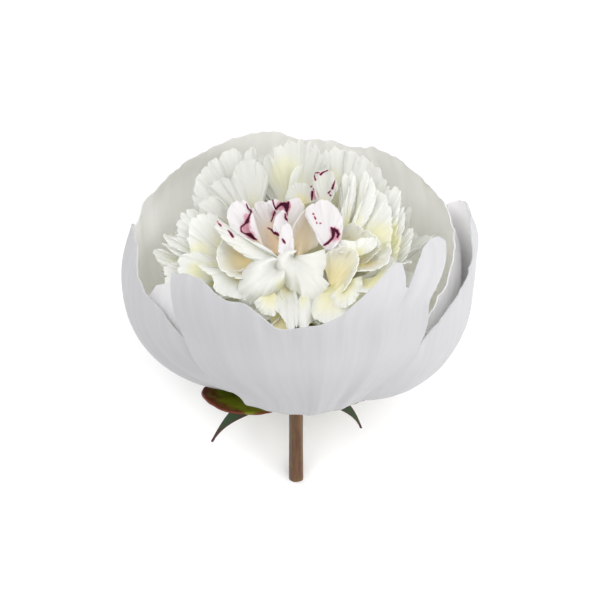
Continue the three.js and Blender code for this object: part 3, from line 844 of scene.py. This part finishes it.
def inside_cup(points, limit):
    """Points that leave the space inside the guard petals are pulled back into it."""
    x, y, z = points.T
    room = BOWL_RADIUS - limit
    deep = BOWL_DEPTH - limit
    around = np.degrees(np.arctan2(x, -y))
    tall = np.where(z > BOWL_DEPTH, deep + taller_by(around), deep)
    share = np.sqrt((x / room) ** 2 + (y / room) ** 2 + ((z - BOWL_DEPTH) / tall) ** 2)
    held = CLOSE_TO_CUP + STRETCH_LEFT * np.tanh((share - CLOSE_TO_CUP) / STRETCH_LEFT)
    kept = np.where(share > CLOSE_TO_CUP, held / np.maximum(share, 0.01), 1)
    middle = np.array([0, 0, BOWL_DEPTH])
    return middle + (points - middle) * kept[:, None]


def from_picture(places):
    """Where the line of sight of each place in the picture is this far above the dome of the petals' tips."""
    right, down, lift = places.T
    middle = PICTURE / 2
    ray = ((right - middle) / FOCAL)[:, None] * RIGHT + ((middle - down) / FOCAL)[:, None] * UP - TOWARDS
    ex, ey, ez = EYE
    a = -DOME_CURVE * (ray[:, 0] ** 2 + ray[:, 1] ** 2)
    b = ray[:, 2] - DOME_SLOPE * ray[:, 1] - 2 * DOME_CURVE * (ex * ray[:, 0] + ey * ray[:, 1])
    c = ez - DOME_TOP - lift - DOME_SLOPE * ey - DOME_CURVE * (ex**2 + ey**2)
    distance = (-b - np.sqrt(b**2 - 4 * a * c)) / (2 * a)
    return EYE + distance[:, None] * ray


def turned_to(facing, out, across, height):
    """Points this far out from the bloom's axis, this far across and this high, turned to face that way."""
    a = np.radians(facing)
    x = out * np.sin(a) + across * np.cos(a)
    y = -out * np.cos(a) + across * np.sin(a)
    return np.stack([x, y, height], axis=1)


def leaning_rib(root, bend, tip, along):
    """A midrib's points (out, height), and how far it leans outwards at each."""
    way = (1 - along)[:, None] * (np.array(bend) - root) + along[:, None] * (np.array(tip) - bend)
    return bezier((root, bend, tip), along), np.arctan2(way[:, 0], way[:, 1])


def ring_shape(seed, facing, out, height, half, cup, twist):
    """A petal cupped inwards, which rises to its tip at the back, and arches over to it at the front."""
    front = smooth((np.cos(np.radians(facing)) + 1) / 2)
    root = (ROOT_OUT, WIDE_ROOT_HEIGHT if out > WIDE_RING else ROOT_HEIGHT)
    bend = (out * (0.4 - 0.2 * front), height - 30 + 44 * front)

    def shape(u, v):
        notch = 0.05 * np.abs(np.sin(2.6 * u + 3 * scatter(seed, 6))) + 0.015 * ripple(u, seed, 9)
        rounding = 0.3 * (1 - np.sqrt(1 - 0.8 * u**2))
        along = (0.2 + 0.8 * v) * (1 - rounding - notch * smooth(v))
        rib, lean = leaning_rib(root, bend, (out, height), along)
        width = half * (0.3 + 0.7 * ease(along, 0, 0.75)) * (1 - 0.15 * ease(along, 0.8, 0.2))
        curl = np.radians(cup) * (0.4 + 0.6 * along)
        side = width * np.sin(curl * u) / curl
        ruffle = 0.8 * np.sin(4 * u + 5 * scatter(seed, 7)) * along
        ruffle = ruffle + 0.7 * ripple(u, seed + 1, 8) * ease(along, 0.45, 0.5)
        depth = width * (1 - np.cos(curl * u)) / curl + ruffle
        turn = np.radians(twist) * along
        across = side * np.cos(turn) - depth * np.sin(turn)
        inward = side * np.sin(turn) + depth * np.cos(turn)
        radius = rib[:, 0] - inward * np.cos(lean)
        level = rib[:, 1] + inward * np.sin(lean)
        points = inside_cup(turned_to(facing, radius, across, level), INNER_LIMIT)
        return points, {"foot_tint_and_painted_shade": 1 - ease(v, 0, 1.1)}

    return shape


def ring_petals():
    """The facing, tip, width, cup and twist of each petal in the rings."""
    for level, (count, turn, tip, half, cup, rise) in enumerate(RINGS):
        for i in range(count):
            seed = level * 40 + i + 1
            facing = turn + (360 / count) * (i + RING_STRAY * scatter(seed, 1))
            out = tip[0] + TIP_STRAY * scatter(seed, 3)
            height = tip[1] - rise * np.cos(np.radians(facing)) + TIP_STRAY * scatter(seed, 2)
            width = half * (1 + WIDTH_STRAY * scatter(seed, 4))
            yield facing, out, height, width, cup, TWIST * scatter(seed, 5)


def spots(places, right, down):
    """1 at each place, and 0 from its radius outwards."""
    most = np.zeros(len(right))
    for x, y, radius in places:
        most = np.maximum(most, smooth(1.5 - 1.5 * np.hypot(right - x, down - y) / radius))
    return most


def crimson_at(strokes, flush, right, down):
    """1 in the middle of a stroke, 0.5 at its edge and 0 at twice its half width, and at least the flush."""
    most = FLUSH_SHARE * spots(flush, right, down)
    for stroke in strokes:
        for (x0, y0, half0), (x1, y1, half1) in zip(stroke, stroke[1:]):
            run, rise = x1 - x0, y1 - y0
            t = np.clip(((right - x0) * run + (down - y0) * rise) / (run**2 + rise**2), 0, 1)
            far = np.hypot(right - x0 - t * run, down - y0 - t * rise)
            most = np.maximum(most, 1 - 0.5 * far / (half0 + t * (half1 - half0)))
    return most


def shown_shape(name, seed, foot, margin, bow=0, frill=0.8, tint=0.6, hue=0):
    """A petal that spreads from its foot to its margin, notched and frilled, with its tint and crimson."""
    knots = np.array(margin, float)
    length = np.append(0, np.cumsum(np.hypot(*np.diff(knots[:, :2], axis=0).T)))
    at = 2 * length / length[-1] - 1
    waves = length[-1] / WAVE_PIXELS

    def margin_at(u):
        return np.stack([through(list(zip(at, knots[:, k])), u) for k in range(3)], axis=1)

    def shape(u, v):
        edge = margin_at(u)
        soft = sum(margin_at(np.clip(u + aside, -1, 1)) for aside in SOFT_STEPS) / len(SOFT_STEPS)
        edge = soft + (edge - soft) * ease(v, 0.35, 0.65)[:, None]
        notch = (1 - np.abs(np.sin(1.3 * waves * u + 3 * scatter(seed, 3) + ripple(u, seed + 1, 3)))) ** 4
        ragged = NOTCH * notch * (1 + ripple(u, seed + 2, waves)) + RAGGED * ripple(u, seed, waves)
        ragged = ragged + FINE_RAGGED * ripple(u, seed + 7, 3 * waves)
        reach = (0.05 + 0.95 * v) * (1 - frill * ragged * ease(v, 0.5, 0.5))
        place = foot + (edge - foot) * reach[:, None]
        crinkle = CRINKLE * ripple(u, seed + 3, 0.7 * waves) * v**1.5
        crinkle = crinkle + FINE_CRINKLE * ripple(u, seed + 5, 1.7 * waves) * ease(v, 0.5, 0.5)
        roll = MARGIN_ROLL * ripple(u, seed + 9, 3) * ease(v, 0.8, 0.2)
        place[:, 2] += bow * 4 * v * (1 - v) + frill * (crinkle + roll)
        foot_tint_and_painted_shade = 1 - ease(v, 0, TINT_FADE * tint) if tint else np.zeros(len(u))
        right, down = place[:, 0], place[:, 1]
        # Painted cream shade at the listed spots, in creases and gaps.
        foot_tint_and_painted_shade = np.maximum(foot_tint_and_painted_shade, PAINTED_CREAM_SHADE_SHARE * spots(PAINTED_CREAM_SHADE.get(name, ()), right, down))
        crimson = crimson_at(CRIMSON.get(name, ()), FLUSH.get(name, ()), right, down)
        points = inside_cup(from_picture(place), SHOWN_LIMIT)
        return points, {"foot_tint_and_painted_shade": foot_tint_and_painted_shade, "hue": np.full(len(u), hue), "crimson": crimson}

    return shape


def make_inner_petals():
    tissues = {name: petal_material(name) for name in ("inner_tissue", "back_tissue_painted_shade", "heart_tissue")}
    hidden = [
        sheet(f"ring_{i}", *RING_GRID, ring_shape(i, *sizes)) for i, sizes in enumerate(ring_petals(), 1)
    ]
    deep = joined("inner_petals_deep", hidden)
    finished(deep, INNER_THICK, [tissues["inner_tissue"]], "inner", "inner_petals")
    seed = FIRST_SEED
    for group, petals, tissue in PETAL_GROUPS:
        sheets = []
        for name, sizes in petals.items():
            grid = CRIMSON_GRID if name in CRIMSON else PLAIN_GRID
            sheets.append(sheet(name, *grid, shown_shape(name, seed, **sizes)))
            seed += SEED_STEP
        piece = joined("inner_petals_" + group, sheets)
        finished(piece, INNER_THICK, [tissues[tissue]], "inner", "inner_petals")


# ---- Sepals and stem ----

# Facing, degrees to each side, polar angle of the tip, and how far the tip stands off.
BROAD_SEPALS = {
    "sepal_left": (-68, 36, 33.5, 3),
    "sepal_right": (66, 34, 25, 0.3),
    "sepal_back": (178, 38, 36, 0.5),
}
BROAD_SEPAL_GRID = (30, 30)

# Facing, the midrib's root, bend and tip (out, height), half width, and roll about the midrib.
LEAFY_SEPALS = {
    "leafy_sepal_left": (-82, (6, -3.6), (23.5, -4.5), (31.5, -20), 2.8, 50),
    "leafy_sepal_right": (86, (6, -3.6), (18, -5), (22, -16), 2, -50),
}
LEAFY_SEPAL_GRID = (10, 40)

# The stem's outline (height, radius), from its cut end to the top of the receptacle.
STEM_TOP = 5.5
STEM_OUTLINE = (
    (-STEM_LENGTH, STEM_RADIUS), (-7, STEM_RADIUS), (-3, 3.6), (0, 5), (4, 5.2), (STEM_TOP, 4),
)
STEM_SIDES = 48
STEM_RINGS = 60
LAST_RING = 0.98
STEM_RIDGES = 5

# Shares of its radius: how far the ridges stand up, and what is left of it at its rounded ends.
RIDGE_HEIGHT = 0.025
ROUNDED_END = 0.98


def broad_sepal_shape(facing, half_spread, reach, away):
    """A round-tipped sepal that hugs the cup and stands off it towards its tip."""

    def shape(u, v):
        polar = SEPAL_ROOT_POLAR + (reach - 8 * u**2 - 2 * np.abs(u) - SEPAL_ROOT_POLAR) * v
        width = 1 - 0.4 * ease(v, 0.5, 0.5) * np.abs(u)
        off = away * smooth(v) + 0.2 * ripple(u, facing, 6)
        return cup_point(-SEPAL_CLEAR - off, polar, facing + half_spread * u * width), {}

    return shape


def leafy_sepal_shape(facing, root, bend, tip, half, roll):
    """A narrow, pointed sepal that reaches out under the cup and hangs down, rolled about its midrib."""

    def shape(u, v):
        rib, lean = leaning_rib(root, bend, tip, v)
        turn = np.radians(roll) * smooth(v * 2)
        side = half * u * (0.7 + 0.3 * smooth(v * 3)) * (1 - 0.88 * ease(v, 0.35, 0.65))
        out = rib[:, 0] + side * np.sin(turn) * np.cos(lean)
        height = rib[:, 1] - side * np.sin(turn) * np.sin(lean)
        return turned_to(facing, out, side * np.cos(turn), height), {}

    return shape


def make_sepals():
    broad = leaf_material("broad_sepal_tissue")
    leafy = leaf_material("leafy_sepal_tissue")
    for name, sizes in BROAD_SEPALS.items():
        piece = sheet(name + "_blade", *BROAD_SEPAL_GRID, broad_sepal_shape(*sizes))
        finished(piece, SEPAL_THICK, [broad], "sepal", name)
    for name, sizes in LEAFY_SEPALS.items():
        piece = sheet(name + "_blade", *LEAFY_SEPAL_GRID, leafy_sepal_shape(*sizes))
        finished(piece, SEPAL_THICK, [leafy], "sepal", name)


def make_stem():
    """A cylinder whose rings are pushed out into faint ridges, wider where it meets the receptacle."""
    bpy.ops.object.select_all(action="DESELECT")
    bpy.ops.mesh.primitive_cylinder_add(vertices=STEM_SIDES, radius=1, depth=2)
    piece = bpy.context.object
    piece.name = "stem_skin"
    bpy.ops.object.mode_set(mode="EDIT")
    for level in (0, *np.linspace(-LAST_RING, LAST_RING, STEM_RINGS)):
        bpy.ops.mesh.select_all(action="SELECT")
        bpy.ops.mesh.bisect(plane_co=(0, 0, level), plane_no=(0, 0, 1))
    bpy.ops.object.mode_set(mode="OBJECT")
    mesh = piece.data
    x, y, along = places_of(mesh).T
    height = (along - 1) / 2 * STEM_LENGTH + (along + 1) / 2 * STEM_TOP
    angle = np.arctan2(y, x)
    ridges = 1 + RIDGE_HEIGHT * np.sin(STEM_RIDGES * angle + 0.06 * height)
    radius = through(STEM_OUTLINE, height) * ridges
    radius = radius * np.where(np.abs(along) > 0.999, ROUNDED_END, 1)
    points = np.stack([radius * np.cos(angle) + STEM_ASIDE, radius * np.sin(angle), height], axis=1)
    mesh.vertices.foreach_set("co", lay_down(points).ravel())
    mesh.update()
    bpy.ops.object.shade_smooth_by_angle(angle=SMOOTH_ANGLE)
    mesh.materials.append(stem_material())
    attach(piece, "root")
    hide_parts("stem")


# ---- Floor, light and camera ----

FLOOR_SIZE = 6
FLOOR_COLOUR = (0.99, 0.99, 0.99, 1)
FLOOR_ROUGHNESS = 0.9

# Soft lamps: place and size in metres, and power in watts. All aim at the middle of the bloom.
LAMPS = {
    "key": ((0.25, 0.0, 1.3), 0.9, 5.5),
    "left": ((-0.6, 0.3, 1.1), 0.8, 6),
    "right": ((1.0, -0.2, 0.6), 0.8, 6),
    "back": ((0.6, 0.9, 0.9), 0.8, 3),
}
LAMP_AIM = Vector((0, 0, 0.05))
ROOM_LIGHT = 0.74

# Light that passes through petal after petal takes many bounces.
BOUNCES = 24
DIFFUSE_BOUNCES = 16


def make_floor():
    bpy.ops.object.select_all(action="DESELECT")
    bpy.ops.mesh.primitive_plane_add(size=FLOOR_SIZE)
    floor = bpy.context.object
    floor.name = "floor"
    material, tree, shader = new_material("floor_paint")
    shader.inputs["Base Color"].default_value = FLOOR_COLOUR
    shader.inputs["Roughness"].default_value = FLOOR_ROUGHNESS
    floor.data.materials.append(material)


def make_lights():
    world = bpy.data.worlds.new("studio")
    bpy.context.scene.world = world
    world.use_nodes = True
    background = world.node_tree.nodes["Background"]
    background.inputs[0].default_value = (1, 1, 1, 1)
    background.inputs[1].default_value = ROOM_LIGHT
    for name, (place, size, power) in LAMPS.items():
        data = bpy.data.lights.new(name, "AREA")
        data.size = size
        data.energy = power
        lamp = bpy.data.objects.new(name, data)
        lamp.location = place
        lamp.rotation_euler = (LAMP_AIM - Vector(place)).to_track_quat("-Z", "Y").to_euler()
        bpy.context.collection.objects.link(lamp)


def make_camera():
    data = bpy.data.cameras.new("camera")
    data.sensor_width = SENSOR
    data.lens = SENSOR * FOCAL / PICTURE
    data.clip_end = 20
    camera = bpy.data.objects.new("camera", data)
    camera.location = lay_down(EYE[None])[0]
    camera.rotation_euler = (np.radians(90 - PHOTO_ELEVATION - LEAN_BACK), 0, 0)
    bpy.context.collection.objects.link(camera)
    bpy.context.scene.camera = camera


make_guards()
make_inner_petals()
make_sepals()
make_stem()
make_floor()
make_lights()
make_camera()
bpy.context.scene.view_settings.view_transform = "Standard"
bpy.context.scene.cycles.max_bounces = BOUNCES
bpy.context.scene.cycles.diffuse_bounces = DIFFUSE_BOUNCES
